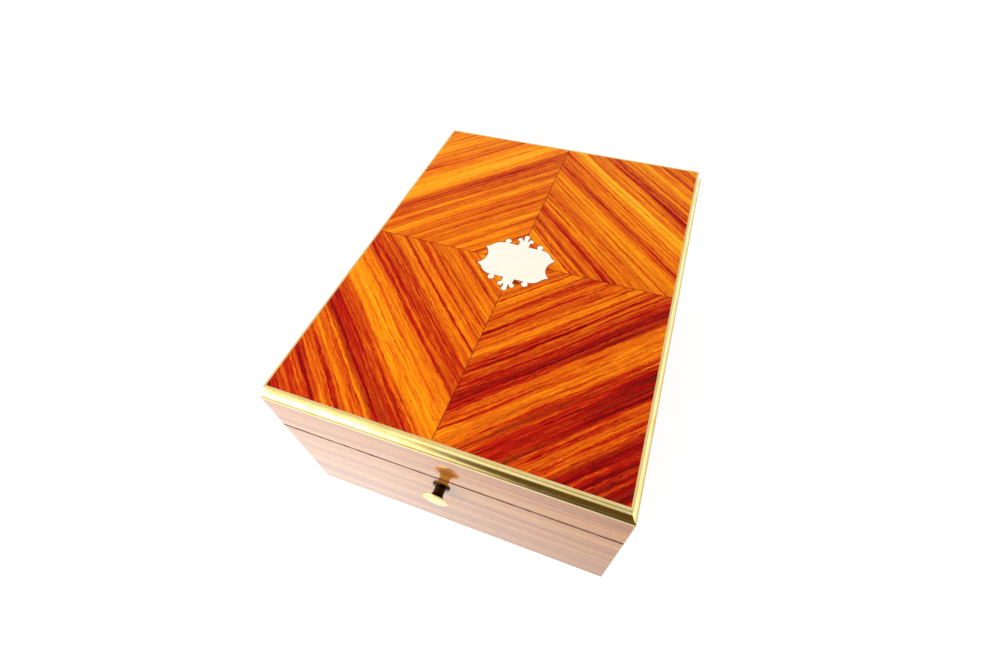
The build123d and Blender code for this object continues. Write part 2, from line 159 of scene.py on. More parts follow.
# Turned button and collar, in millimetres
BUTTON_AXIS = sum(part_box("push_button"), Vector()).z / 2 / MM
BUTTON_DOME = 0.4
BUTTON_RIM = 0.35
BUTTON_EDGE = 0.08
BUTTON_FLARE = 1.9
STEM_RADIUS = 1.7
GROOVE_RADIUS = 0.9
TIP_RADIUS = 1.1
TIP_RISE = 0.4
COLLAR_BORE = 1.75
COLLAR_CROWN = 2.2
COLLAR_TAIL = 2.3
COLLAR_EDGE = 0.12

# Leaf spring behind the lever, in millimetres
SPRING_THICKNESS = 0.35
SPRING_FOOT = 4.0
SPRING_TAIL = 2.1
SPRING_BEND = 0.6
SPRING_BEND_STEPS = 6

# Slotted countersunk screws, in millimetres
SCREW_HEAD = 1.22
SCREW_EDGE = 0.06
SCREW_HEAD_DEPTH = 0.78
SCREW_SHANK = 0.58
SCREW_LENGTH = 5.5
SCREW_POINT = 1.4
SLOT_LENGTH = 2.2
SLOT_WIDTH = 0.36
SLOT_DEPTH = 0.32
SLOT_EASE = 0.03
SLOT_TURN = math.radians(52)
HINGE_SCREW_SPREAD = 13.0
HINGE_SCREW_INSET = 1.85
CATCH_SCREW_SPREAD = 16.4
CATCH_SCREW_DROP = 12.85
STRIKE_SCREW_SPREAD = 13.4

# Light and dark bands of a leaf: distance from the middle of the lid in millimetres, and tone
LEAF_BANDS = (
    (13, 0.54),
    (24, 0.46),
    (28, 0.55),
    (33, 0.50),
    (38, 0.40),
    (42, 0.33),
    (48, 0.68),
    (53, 0.62),
    (57, 0.40),
    (63, 0.38),
    (68, 0.56),
    (73, 0.42),
)

# Each leaf: its side of the middle in X and Y, how far its bands slip, its tone, what its outer corner adds
# to that, and the strength and seed of its streaks
Leaf = namedtuple("Leaf", "side slip tone corner contrast seed")
# Tone and corner make the back leaves lighter and the front leaves darker towards their outer corners:
# painted light falloff from the back, partly the leaves' own tone
LEAVES = {
    "back_left": Leaf(side=(-1, 1), slip=5.0, tone=0.05, corner=0.26, contrast=0.9, seed=11),
    "back_right": Leaf(side=(1, 1), slip=2.5, tone=0.03, corner=0.22, contrast=1.2, seed=23),
    "front_left": Leaf(side=(-1, -1), slip=-1.5, tone=0.02, corner=-0.08, contrast=1.2, seed=37),
    "front_right": Leaf(side=(1, -1), slip=0.0, tone=-0.02, corner=-0.26, contrast=1.2, seed=51),
}

# Noise drawn out along a grain: length and width in millimetres, the weight that it gets, and for marks that
# only show here and there, the noise at which they start and are full
Streak = namedtuple("Streak", "length width seed weight detail low high", defaults=(1.0, 2.0, 0.0, 1.0))
NOISE_RANGE = (0.25, 0.75)

# Grain of the striped leaves
LEAF_BENDS = (
    Streak(length=100, width=40, seed=0.0, weight=2.2),
    Streak(length=12, width=4, seed=0.1, weight=0.4),
    Streak(length=2.4, width=0.3, seed=0.2, weight=0.55, detail=3.0),
)
LEAF_STREAKS = (
    Streak(length=150, width=2.6, seed=0.3, weight=0.36, detail=3.0),
    Streak(length=90, width=0.8, seed=0.6, weight=0.34, detail=3.0),
    Streak(length=10, width=0.5, seed=0.7, weight=0.22),
)
LEAF_HAIR = Streak(length=7, width=0.2, seed=0.9, weight=0.14, detail=3.0)
LEAF_DRIFT = Streak(length=40, width=6, seed=1.2, weight=0.10)
LEAF_LINES = Streak(length=80, width=0.8, seed=1.5, weight=0.20, detail=3.0, low=0.60, high=0.76)
LEAF_BROWN = Streak(length=90, width=1.7, seed=1.8, weight=0.3, detail=3.0, low=0.55, high=0.8)
LEAF_PORES = Streak(length=2.6, width=0.16, seed=2.0, weight=0.4, low=0.66, high=0.85)
LEAF_DASHES = Streak(length=4.0, width=0.35, seed=2.5, low=0.78, high=0.9)
DASH_FADE = {"low": 0.3, "high": 0.55, "start": 0.75, "end": 0.1}

# Grain of the sides and of the boards
SIDE_BEND = Streak(length=60, width=24, seed=0.0, weight=2.0)
SIDE_STREAKS = (
    Streak(length=120, width=4.5, seed=0.3, weight=0.6),
    Streak(length=80, width=1.1, seed=0.6, weight=0.55),
)
SIDE_HAIR = Streak(length=14, width=0.25, seed=0.9, weight=0.25)
SIDE_PORES = Streak(length=3.0, width=0.16, seed=2.0, weight=0.4, low=0.70, high=0.85)
SIDE_RAGGED = Streak(length=4, width=4, seed=3.0, detail=3.0)
BOARD_RINGS = Streak(length=90, width=2.6, seed=0.0, weight=0.6)
BOARD_HAIR = Streak(length=9, width=0.3, seed=0.5, weight=0.25)

# Marks on metal and bone
BRASS_MARKS = Streak(length=12, width=0.12, seed=1.0, weight=0.06)
BRASS_RUBS = Streak(length=20, width=0.5, seed=7.0, weight=0.2)
STEEL_MARKS = Streak(length=8, width=0.1, seed=5.0, weight=0.08)
BONE_STREAKS = Streak(length=9, width=0.5, seed=3.0, weight=0.1)

# Woods and pile, from dark to light
STRIPED_WOOD = (
    (0.00, tint(112, 2, 1)),
    (0.14, tint(156, 3, 1)),
    (0.30, tint(186, 34, 2)),
    (0.46, tint(213, 88, 4)),
    (0.62, tint(236, 118, 5)),
    (0.78, tint(249, 150, 8)),
    (1.00, tint(255, 180, 34)),
)
STRAIGHT_WOOD = (
    (0.0, tint(134, 66, 16)),
    (0.5, tint(186, 112, 34)),
    (1.0, tint(220, 156, 64)),
)
BOARD_WOOD = (
    (0.0, tint(150, 100, 58)),
    (0.5, tint(190, 142, 92)),
    (1.0, tint(214, 172, 122)),
)
CLARET_PILE = (
    (0.0, tint(62, 4, 14)),
    (0.5, tint(104, 10, 26)),
    (1.0, tint(146, 24, 42)),
)
CLARET_SHEEN = tint(226, 150, 160)

# Colours of stains, wear and dirt
BROWN_STREAK = tint(168, 74, 4)
RED_PORE = tint(104, 10, 1)
DARK_DASH = tint(72, 2, 0)
JOINT_GLUE = tint(80, 26, 6)
CHIP_FLOOR = tint(70, 30, 12)
BROWN_PORE = tint(120, 50, 18)
RUBBED_WOOD = tint(222, 170, 112)
SEAM_PAINTED_SHADE = tint(62, 26, 10)

# Colours of metal, bone and wax
PALE_BRASS = tint(255, 238, 176)
WARM_BRASS = tint(251, 222, 136)
DULL_BRASS = tint(176, 132, 56)
RUBBED_BRASS = tint(212, 180, 96)
COVE_FOOT_DARK = tint(70, 42, 10)
NECK_PAINTED_SHADE = tint(52, 34, 12)
PALE_STEEL = tint(198, 200, 204)
GREY_STEEL = tint(160, 158, 154)
PALE_BONE = tint(244, 241, 228)
WARM_BONE = tint(236, 230, 210)
BONE_SPECK = tint(214, 196, 160)
DARK_WAX = tint(44, 16, 6)
DUSTY_WAX = tint(84, 40, 18)


class Nodes:
    """A node tree, with its nodes added one at a time."""

    def __init__(self, tree):
        self.tree = tree

    def feed(self, socket, value):
        """A value or a link into one socket."""
        if isinstance(value, bpy.types.NodeSocket):
            self.tree.links.new(value, socket)
        else:
            socket.default_value = value

    def add(self, kind, inputs=(), **settings):
        """A new node, with each input a plain value or another node's output."""
        node = self.tree.nodes.new(kind)
        for name, value in settings.items():
            setattr(node, name, value)
        for name, value in dict(inputs).items():
            self.feed(node.inputs[name], value)
        return node

    def axes(self, vector):
        """The three parts of a vector."""
        return self.add("ShaderNodeSeparateXYZ", {"Vector": vector}).outputs

    def maths(self, operation, *values):
        """One sum on one, two or three values."""
        node = self.add("ShaderNodeMath", operation=operation)
        for socket, value in zip(node.inputs, values):
            self.feed(socket, value)
        return node.outputs["Value"]

    def span(self, value, low, high, start=0.0, end=1.0, style="LINEAR"):
        """A value between low and high, put between start and end."""
        inputs = {"Value": value, "From Min": low, "From Max": high, "To Min": start, "To Max": end}
        return self.add("ShaderNodeMapRange", inputs, interpolation_type=style).outputs["Result"]

    def seen_rays(self):
        """One for rays from the camera, a mirror or glass, and nought for the rest."""
        path = self.add("ShaderNodeLightPath").outputs
        opaque = self.maths("MAXIMUM", path["Is Camera Ray"], path["Is Glossy Ray"])
        return self.maths("MAXIMUM", opaque, path["Is Transmission Ray"])


class Finish(Nodes):
    """A material, from noise and colours placed in millimetres."""

    def __init__(self, name):
        self.material = bpy.data.materials.new(name)
        self.material.use_nodes = True
        super().__init__(self.material.node_tree)
        self.shader = self.tree.nodes["Principled BSDF"]

    def surface(self, **inputs):
        """Sockets of the shader, by name with spaces as underscores."""
        for name, value in inputs.items():
            self.feed(self.shader.inputs[name.replace("_", " ")], value)

    def place(self, scale=(1, 1, 1), turn=0.0):
        """Object coordinates in millimetres, scaled and then turned about Z."""
        coordinates = self.add("ShaderNodeTexCoord").outputs["Object"]
        inputs = {"Vector": coordinates, "Scale": Vector(scale) / MM, "Rotation": (0, 0, turn)}
        return self.add("ShaderNodeMapping", inputs).outputs["Vector"]

    def streaks(self, along, across, streak, seed=0):
        """Noise drawn out along the grain, from 0 to 1."""
        parts = {
            "X": self.maths("DIVIDE", along, streak.length),
            "Y": self.maths("DIVIDE", across, streak.width),
            "Z": seed + streak.seed,
        }
        vector = self.add("ShaderNodeCombineXYZ", parts).outputs["Vector"]
        noise = self.add("ShaderNodeTexNoise", {"Vector": vector, "Scale": 1.0, "Detail": streak.detail})
        return self.span(noise.outputs["Fac"], *NOISE_RANGE)

    def marks(self, along, across, streak, seed=0):
        """Marks here and there along the grain, where its noise is high, from 0 to 1."""
        return self.span(self.streaks(along, across, streak, seed), streak.low, streak.high)

    def grit(self, vector, size, detail=2.0):
        """Even noise with grains of one size, from 0 to 1."""
        noise = self.add("ShaderNodeTexNoise", {"Vector": vector, "Scale": 1 / size, "Detail": detail})
        return self.span(noise.outputs["Fac"], *NOISE_RANGE)

    def weigh(self, base, *parts):
        """A base value, moved up or down by each (value from 0 to 1, weight) about its middle."""
        for value, weight in parts:
            centred = self.maths("SUBTRACT", value, 0.5)
            base = self.maths("MULTIPLY_ADD", centred, weight, base)
        return base

    def grain(self, base, along, across, streaks, seed, strength=1.0):
        """A base value, moved up or down by several streaks."""
        parts = [(self.streaks(along, across, streak, seed), streak.weight * strength) for streak in streaks]
        return self.weigh(base, *parts)

    def ellipse(self, parts, middle, size):
        """The square of the distance from the middle of an ellipse, with 1 on its edge."""
        reach = 0.0
        for part, centre, width in zip(parts, middle, size):
            away = self.maths("DIVIDE", self.maths("SUBTRACT", part, centre), width / 2)
            reach = self.maths("ADD", self.maths("POWER", away, 2), reach)
        return reach

    def ramp(self, value, stops, style="LINEAR"):
        """Colours picked by a value, from (position, colour) stops."""
        node = self.add("ShaderNodeValToRGB", {"Fac": value})
        node.color_ramp.interpolation = style
        elements = node.color_ramp.elements
        while len(elements) < len(stops):
            elements.new(0.5)
        for element, (position, colour) in zip(elements, stops):
            element.position = position
            element.color = colour
        return node.outputs["Color"]

    def mix(self, amount, first, second):
        """Two colours mixed."""
        inputs = {"Fac": amount, "Color1": first, "Color2": second}
        return self.add("ShaderNodeMixRGB", inputs).outputs["Color"]

    def stain(self, colour, marks, weight, pigment):
        """A colour stained by a pigment at its marks."""
        return self.mix(self.maths("MULTIPLY", marks, weight), colour, pigment)

    def relief(self, height, depth):
        """A bump into the shader's normal, from a height of 0 to 1 and its depth in millimetres."""
        inputs = {"Height": height, "Strength": 1.0, "Distance": depth * MM}
        self.surface(Normal=self.add("ShaderNodeBump", inputs).outputs["Normal"])

    def dent(self, hollows, depth):
        """A bump from hollows of 0 to 1 and their depth in millimetres."""
        self.relief(self.maths("SUBTRACT", 1.0, hollows), depth)


def leaf_tone(finish, leaf, along, across, hair):
    """How light a leaf is, from its bands, its corner and its streaks."""
    bands = [((distance + leaf.slip) / LEAF_REACH, grey(level)) for distance, level in LEAF_BANDS]
    share = finish.maths("DIVIDE", across, LEAF_REACH)
    # Tone and corner: painted light falloff from the back, partly the leaves' own tone
    tone = finish.maths("ADD", finish.ramp(share, bands, "CARDINAL"), leaf.tone)
    tone = finish.maths("MULTIPLY_ADD", finish.maths("POWER", share, 2), leaf.corner, tone)
    tone = finish.grain(tone, along, across, LEAF_STREAKS, leaf.seed, leaf.contrast)
    tone = finish.weigh(tone, (hair, LEAF_HAIR.weight * leaf.contrast))
    tone = finish.grain(tone, along, across, [LEAF_DRIFT], leaf.seed)
    lines = finish.marks(along, across, LEAF_LINES, leaf.seed)
    return finish.maths("MULTIPLY_ADD", lines, -LEAF_LINES.weight * leaf.contrast, tone)


def top_veneer(name, leaf):
    """One leaf of striped veneer, its stripes running round the middle of the lid."""
    finish = Finish("veneer_" + name)
    flat = finish.place()
    along, across, _ = finish.axes(finish.place((*leaf.side, 1), GRAIN_ANGLE))
    across = finish.grain(across, along, across, LEAF_BENDS, leaf.seed)
    hair = finish.streaks(along, across, LEAF_HAIR, leaf.seed)
    tone = leaf_tone(finish, leaf, along, across, hair)
    brown = finish.marks(along, across, LEAF_BROWN, leaf.seed)
    colour = finish.stain(finish.ramp(tone, STRIPED_WOOD), brown, LEAF_BROWN.weight, BROWN_STREAK)
    pores = finish.marks(along, across, LEAF_PORES, leaf.seed)
    colour = finish.stain(colour, pores, LEAF_PORES.weight, RED_PORE)
    dashes = finish.marks(along, across, LEAF_DASHES, leaf.seed)
    colour = finish.stain(colour, dashes, finish.span(tone, **DASH_FADE), DARK_DASH)

    flat_x, flat_y, _ = finish.axes(flat)
    nearest = finish.maths("MINIMUM", finish.maths("ABSOLUTE", flat_x), finish.maths("ABSOLUTE", flat_y))
    joint = finish.span(nearest, **JOINT_FADE)
    colour = finish.mix(joint, colour, JOINT_GLUE)
    hollows = finish.maths("MAXIMUM", pores, joint)
    if name == CHIPPED_LEAF:
        reach = finish.ellipse((flat_x, flat_y), CHIP_PLACE, CHIP_SIZE)
        reach = finish.weigh(reach, (finish.grit(flat, size=CHIP_GRIT), CHIP_RAGGED))
        chip = finish.span(reach, **CHIP_FADE)
        colour = finish.mix(chip, colour, CHIP_FLOOR)
        hollows = finish.maths("MAXIMUM", hollows, chip)
    finish.dent(hollows, depth=0.02)
    finish.surface(Base_Color=colour, Roughness=finish.weigh(0.3, (hair, 0.06)), Specular_IOR_Level=0.01)
    finish.surface(Coat_Weight=0.55, Coat_Roughness=0.14, Coat_IOR=1.2)
    return finish.material


def side_veneer(name, axis, corner, seed):
    """Straight veneer with its grain level, along X or Y as far as a corner, under a mirror polish."""
    finish = Finish(name)
    parts = finish.axes(finish.place())
    along, level = parts[axis], parts["Z"]
    across = finish.grain(level, along, level, [SIDE_BEND], seed)
    hair = finish.streaks(along, across, SIDE_HAIR, seed)
    tone = finish.grain(0.5, along, across, SIDE_STREAKS, seed)
    tone = finish.weigh(tone, (hair, SIDE_HAIR.weight))
    pores = finish.marks(along, across, SIDE_PORES, seed)
    colour = finish.stain(finish.ramp(tone, STRAIGHT_WOOD), pores, SIDE_PORES.weight, BROWN_PORE)

    ragged = finish.streaks(along, level, SIDE_RAGGED, seed)
    to_corner = finish.maths("SUBTRACT", corner, finish.maths("ABSOLUTE", along))
    to_edge = finish.weigh(finish.maths("MINIMUM", to_corner, level), (ragged, EDGE_WEAR))
    worn = finish.span(to_edge, low=0.0, high=EDGE_WEAR, start=0.5, end=0.0)
    colour = finish.mix(worn, colour, RUBBED_WOOD)
    # Painted shade: a dark band on both sides of the seam between lid and base, with less polish in it
    from_seam = finish.maths("ABSOLUTE", finish.maths("SUBTRACT", level, SEAM_LEVEL))
    from_seam = finish.weigh(from_seam, (ragged, SEAM_RAGGED))
    dark_band = finish.span(from_seam, low=SEAM_CORE, high=SEAM_SHADE_REACH, start=0.95, end=0.0)
    colour = finish.mix(dark_band, colour, SEAM_PAINTED_SHADE)
    finish.dent(finish.maths("MAXIMUM", pores, dark_band), depth=0.01)
    rough = finish.maths("MAXIMUM", finish.weigh(0.10, (hair, 0.03)), dark_band)
    rough = finish.maths("MAXIMUM", rough, worn)
    polish = finish.span(dark_band, low=0.0, high=1.0, start=0.65, end=0.0)
    finish.surface(Base_Color=colour, Roughness=rough)
    finish.surface(Coat_Weight=polish, Coat_Roughness=0.05, Coat_IOR=1.5)
    return finish.material


def board_wood(name, axis, seed):
    """Plain bare wood of the boards, with its grain along X or Y."""
    finish = Finish(name)
    parts = finish.axes(finish.place())
    along = parts[axis]
    across = finish.maths("ADD", parts["Y" if axis == "X" else "X"], parts["Z"])
    rings = finish.streaks(along, across, BOARD_RINGS, seed)
    hair = finish.streaks(along, across, BOARD_HAIR, seed)
    tone = finish.weigh(0.5, (rings, BOARD_RINGS.weight), (hair, BOARD_HAIR.weight))
    finish.relief(hair, depth=0.03)
    finish.surface(
        Base_Color=finish.ramp(tone, BOARD_WOOD),
        Roughness=finish.weigh(0.6, (rings, 0.12)),
        Specular_IOR_Level=0.3,
    )
    return finish.material


def brass(name, axis, roughness, tarnish, cove_darkening=0.0, turned=False):
    """Polished brass with fine marks along one axis, or round the button's, and a dull bloom in patches."""
    finish = Finish(name)
    place = finish.place()
    parts = finish.axes(place)
    along = parts[axis]
    others = [letter for letter in "XYZ" if letter != axis]
    across = finish.maths("ADD", parts[others[0]], parts[others[1]])
    if turned:
        rise = finish.maths("SUBTRACT", parts["Z"], BUTTON_AXIS)
        square = finish.maths("MULTIPLY_ADD", rise, rise, finish.maths("POWER", parts["X"], 2))
        across = finish.maths("ADD", finish.maths("SQRT", square), parts["Y"])
        along = finish.maths("ARCTAN2", rise, parts["X"])
    marks = finish.streaks(along, across, BRASS_MARKS)
    bloom = finish.grit(place, size=6.0, detail=4.0)
    colour = finish.mix(bloom, PALE_BRASS, WARM_BRASS)
    dull = finish.span(bloom, low=0.6, high=1.0)
    colour = finish.stain(colour, dull, tarnish, DULL_BRASS)
    # A darker band at the foot of the cove, with rubs along the edging
    if cove_darkening:
        from_cove = finish.maths("ABSOLUTE", finish.maths("SUBTRACT", parts["Z"], COVE_FOOT))
        dark_band = finish.span(from_cove, low=COVE_CORE, high=COVE_DARK_REACH, start=cove_darkening, end=0.0)
        rubbed = finish.streaks(across, along, BRASS_RUBS)
        colour = finish.stain(colour, rubbed, BRASS_RUBS.weight, RUBBED_BRASS)
        colour = finish.mix(dark_band, colour, COVE_FOOT_DARK)
    # Painted shade and dark reflection on the neck between the button's head and the collar
    if turned:
        front = finish.span(parts["Y"], NECK_FRONT - NECK_FADE / 2, NECK_FRONT + NECK_FADE / 2)
        back = finish.span(parts["Y"], NECK_BACK, NECK_BACK + NECK_FADE, start=1.0, end=0.0)
        colour = finish.mix(finish.maths("MINIMUM", front, back), colour, NECK_PAINTED_SHADE)
    finish.relief(marks, depth=0.003)
    rough = finish.weigh(roughness, (bloom, 0.08), (marks, BRASS_MARKS.weight))
    finish.surface(Base_Color=colour, Metallic=1.0, Roughness=rough)
    return finish.material


def bone(name):
    """Polished bone with faint lengthwise streaks and specks."""
    finish = Finish(name)
    place = finish.place()
    parts = finish.axes(place)
    streak = finish.streaks(parts["X"], parts["Y"], BONE_STREAKS)
    specks = finish.span(finish.grit(place, size=0.35), low=0.72, high=0.9)
    colour = finish.mix(streak, PALE_BONE, WARM_BONE)
    colour = finish.stain(colour, specks, weight=0.25, pigment=BONE_SPECK)
    finish.dent(specks, depth=0.01)
    finish.surface(Base_Color=colour, Roughness=finish.weigh(0.3, (streak, BONE_STREAKS.weight)))
    return finish.material


def wax(name):
    """Dark filling wax with dust in it."""
    finish = Finish(name)
    dust = finish.grit(finish.place(), size=0.4, detail=3.0)
    colour = finish.mix(dust, DARK_WAX, DUSTY_WAX)
    finish.relief(dust, depth=0.01)
    finish.surface(Base_Color=colour, Roughness=finish.weigh(0.6, (dust, 0.2)), Specular_IOR_Level=0.2)
    return finish.material


def velvet(name):
    """Claret pile, with a nap that lies both ways in soft patches."""
    finish = Finish(name)
    place = finish.place()
    nap = finish.grit(place, size=9.0, detail=3.0)
    tufts = finish.grit(place, size=0.12)
    colour = finish.ramp(finish.weigh(0.5, (nap, 0.5), (tufts, 0.5)), CLARET_PILE)
    finish.relief(tufts, depth=0.04)
    finish.surface(Base_Color=colour, Roughness=finish.weigh(0.85, (nap, 0.1)), Specular_IOR_Level=0.15)
    finish.surface(Sheen_Weight=0.6, Sheen_Roughness=0.4, Sheen_Tint=CLARET_SHEEN)
    return finish.material


def steel(name):
    """Bright drawn steel with fine lengthwise marks."""
    finish = Finish(name)
    place = finish.place()
    parts = finish.axes(place)
    marks = finish.streaks(parts["X"], finish.maths("ADD", parts["Y"], parts["Z"]), STEEL_MARKS)
    bloom = finish.grit(place, size=2.0, detail=3.0)
    colour = finish.mix(bloom, PALE_STEEL, GREY_STEEL)
    finish.relief(marks, depth=0.003)
    rough = finish.weigh(0.28, (bloom, 0.14), (marks, STEEL_MARKS.weight))
    finish.surface(Base_Color=colour, Metallic=1.0, Roughness=rough)
    return finish.material


def coat(finish, *nodes):
    """One finish on several CAD nodes."""
    for name in nodes:
        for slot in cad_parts[name].material_slots:
            slot.material = finish


for leaf_name, leaf in LEAVES.items():
    coat(top_veneer(leaf_name, leaf), f"lid_top_{leaf_name}_veneer")
coat(
    side_veneer("veneer_front", "X", corner=cad_high.x / MM, seed=4),
    "base_front_veneer",
    "lid_front_veneer",
    "base_back_veneer",
    "lid_back_veneer",
)
coat(
    side_veneer("veneer_sides", "Y", corner=cad_high.y / MM, seed=9),
    "base_left_veneer",
    "lid_left_veneer",
    "base_right_veneer",
    "lid_right_veneer",
)
coat(
    board_wood("boards_across", "X", seed=2),
    "base_front_board",
    "base_back_board",
    "lid_front_rail",
    "lid_back_rail",
)
coat(
    board_wood("boards_along", "Y", seed=6),
    "base_left_board",
    "base_right_board",
    "base_bottom_board",
    "lid_left_rail",
    "lid_right_rail",
    "lid_panel",
)
coat(
    brass("brass_across", "X", roughness=0.16, tarnish=0.2, cove_darkening=0.8),
    "lid_front_edging",
    "lid_back_edging",
)
coat(
    brass("brass_along", "Y", roughness=0.16, tarnish=0.2, cove_darkening=0.3),
    "lid_left_edging",
    "lid_right_front_edging",
    "lid_right_back_edging",
)
turned_brass = brass("brass_turned", "Y", roughness=0.14, tarnish=0.2, turned=True)
coat(turned_brass, "push_button", "button_collar")
coat(
    brass("brass_fittings", "X", roughness=0.26, tarnish=0.6),
    "hinge_left_base_leaf",
    "hinge_left_lid_leaf",
    "hinge_right_base_leaf",
    "hinge_right_lid_leaf",
    "catch_plate",
    "catch_spring_rivet",
    "strike_plate",
)
polished_bone = bone("bone_inlay")
coat(polished_bone, "lid_cartouche")
coat(
    steel("steel_bright"),
    "catch_spring",
    "button_clip",
    "catch_pivot_pin",
    "catch_lever",
    "hinge_left_pin",
    "hinge_right_pin",
)

claret_velvet = velvet("velvet_claret")
dark_wax = wax("wax_line")
screw_brass = brass("brass_screws", "X", roughness=0.22, tarnish=0.5)
spring_steel = steel("steel_spring")


def add_object(name, mesh, *finishes):
    """A finished mesh as an object of the scene."""
    data = bpy.data.meshes.new(name)
    mesh.to_mesh(data)
    mesh.free()
    for finish in finishes:
        data.materials.append(finish)
    made = bpy.data.objects.new(name, data)
    bpy.context.scene.collection.objects.link(made)
    return made


def add_piece(name, mesh, body, slot, *finishes):
    """A finished mesh as a piece that moves with a body."""
    piece = add_object(name, mesh, *finishes)
    piece.data.shade_smooth()
    piece.data.set_sharp_from_angle(angle=SHARP_ANGLE)
    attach(piece, body)
    return piece


def thicken(mesh, faces, step):
    """A sheet of faces made solid by a step to its other side."""
    made = bmesh.ops.extrude_face_region(mesh, geom=faces)["geom"]
    moved = [part for part in made if isinstance(part, bmesh.types.BMVert)]
    bmesh.ops.translate(mesh, vec=step, verts=moved)
    bmesh.ops.recalc_face_normals(mesh, faces=mesh.faces)


def round_over(mesh, edges, size, steps):
    """Edges rounded over by a size."""
    bmesh.ops.bevel(
        mesh,
        geom=edges,
        offset=size,
        offset_type="OFFSET",
        affect="EDGES",
        segments=steps,
        profile=0.5,
        material=-1,
    )


def velvet_card(node, body, opening=None):
    """A card wrapped in velvet, with rolled edges, in the place of a lining node, open round a fitting."""
    low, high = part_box(node)
    corners = [(low.x, low.z), (high.x, low.z), (high.x, high.z), (low.x, high.z)]
    if opening:
        gap_low, gap_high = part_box(opening)
        left, right = gap_low.x - CATCH_MARGIN, gap_high.x + CATCH_MARGIN
        sill = gap_low.z - CATCH_MARGIN
        corners[3:3] = [(right, high.z), (right, sill), (left, sill), (left, high.z)]
    mesh = bmesh.new()
    front = mesh.faces.new([mesh.verts.new((x, low.y, z)) for x, z in corners])
    thicken(mesh, [front], (0, high.y - low.y, 0))
    round_over(mesh, mesh.edges[:], VELVET_ROLL, VELVET_ROLL_STEPS)
    card = add_piece(node + "_velvet", mesh, body, "velvet_lining", claret_velvet)
    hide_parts(node)


def velvet_linings():
    """Five cards in the base, the front one open round the catch, and five in the lid."""
    for body, flat_side in (("base", "floor"), ("lid", "top")):
        for side in (flat_side, "front", "back", "left", "right"):
            opening = "catch_plate" if (body, side) == ("base", "front") else None
            velvet_card(f"{body}_{side}_lining", body, opening)


def inlay():
    """The bone inlay, with a groove of dark wax round its edge."""
    mesh = bmesh.new()
    mesh.from_mesh(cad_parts["lid_cartouche"].data)
    bmesh.ops.remove_doubles(mesh, verts=mesh.verts, dist=MERGE_REACH)
    top = [face for face in mesh.faces if face.normal.z > math.cos(SHARP_ANGLE)]
    for depth in (-WAX_DEPTH, WAX_DEPTH):
        made = bmesh.ops.inset_region(
            mesh, faces=top, thickness=WAX_WIDTH / 2 * MM, depth=depth * MM, use_even_offset=True
        )
        for face in made["faces"]:
            face.material_index = 1
    piece = add_piece("bone_cartouche", mesh, "lid", "bone_inlay", polished_bone, dark_wax)
    piece.data.shade_flat()
    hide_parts("lid_cartouche")


def quarter(start, end, radius_first=True):
    """Points of a quarter of an ellipse between two (radius, depth) points."""
    points = []
    for step in range(CURVE_STEPS + 1):
        turn = math.pi / 2 * step / CURVE_STEPS
        shares = [math.sin(turn), 1 - math.cos(turn)]
        if not radius_first:
            shares.reverse()
        points.append([a + (b - a) * share for a, b, share in zip(start, end, shares)])
    return points


def turned_mesh(profile):
    """A profile of (radius, depth) points in millimetres, turned about Z."""
    mesh = bmesh.new()
    points = [mesh.verts.new((radius * MM, 0, depth * MM)) for radius, depth in profile]
    edges = [mesh.edges.new(pair) for pair in zip(points, points[1:])]
    bmesh.ops.spin(
        mesh,
        geom=points + edges,
        cent=(0, 0, 0),
        axis=(0, 0, 1),
        angle=math.tau,
        steps=TURN_STEPS,
        use_merge=True,
    )
    bmesh.ops.remove_doubles(mesh, verts=mesh.verts, dist=MERGE_REACH)
    bmesh.ops.recalc_face_normals(mesh, faces=mesh.faces)
    return mesh


def put(mesh, place, direction):
    """Moves a turned mesh so that its depth runs from the place in the given direction."""
    turn = Vector(direction).to_track_quat("Z", "Y").to_matrix()
    bmesh.ops.rotate(mesh, cent=(0, 0, 0), matrix=turn, verts=mesh.verts)
    bmesh.ops.translate(mesh, vec=place, verts=mesh.verts)


def turned_button():
    """The button, with a domed face and a curved flare."""
    low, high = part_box("push_button")
    clip_low, clip_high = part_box("button_clip")
    head = high.x / MM
    length = (high.y - low.y) / MM
    groove = [(side.y - low.y) / MM for side in (clip_low, clip_high)]
    rim_back = BUTTON_DOME + BUTTON_RIM
    neck = rim_back + BUTTON_FLARE
    profile = [
        *quarter((0, 0), (head, BUTTON_DOME)),
        (head, rim_back - BUTTON_EDGE),
        *quarter((head - BUTTON_EDGE, rim_back), (STEM_RADIUS, neck)),
        (STEM_RADIUS, groove[0]),
        (GROOVE_RADIUS, groove[0]),
        (GROOVE_RADIUS, groove[1]),
        (TIP_RADIUS, groove[1]),
        *quarter((TIP_RADIUS, length - TIP_RISE), (0, length), radius_first=False),
    ]
    mesh = turned_mesh(profile)
    put(mesh, (0, low.y, BUTTON_AXIS * MM), (0, 1, 0))
    piece = add_piece("turned_button", mesh, "button", "brass", turned_brass)
    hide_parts("push_button")


def turned_collar():
    """The collar, with a rounded flange and an eased mouth."""
    low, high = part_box("button_collar")
    flange = high.x / MM
    flange_back = NECK_BACK - low.y / MM
    length = (high.y - low.y) / MM
    profile = [
        (COLLAR_BORE, length),
        *quarter((COLLAR_BORE, COLLAR_EDGE), (COLLAR_BORE + COLLAR_EDGE, 0), radius_first=False),
        *quarter((COLLAR_CROWN, 0), (flange, flange_back)),
        (COLLAR_TAIL, flange_back),
        (COLLAR_TAIL, length),
        (COLLAR_BORE, length),
    ]
    mesh = turned_mesh(profile)
    put(mesh, (0, low.y, BUTTON_AXIS * MM), (0, 1, 0))
    piece = add_piece("turned_collar", mesh, "base", "brass", turned_brass)
    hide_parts("button_collar")


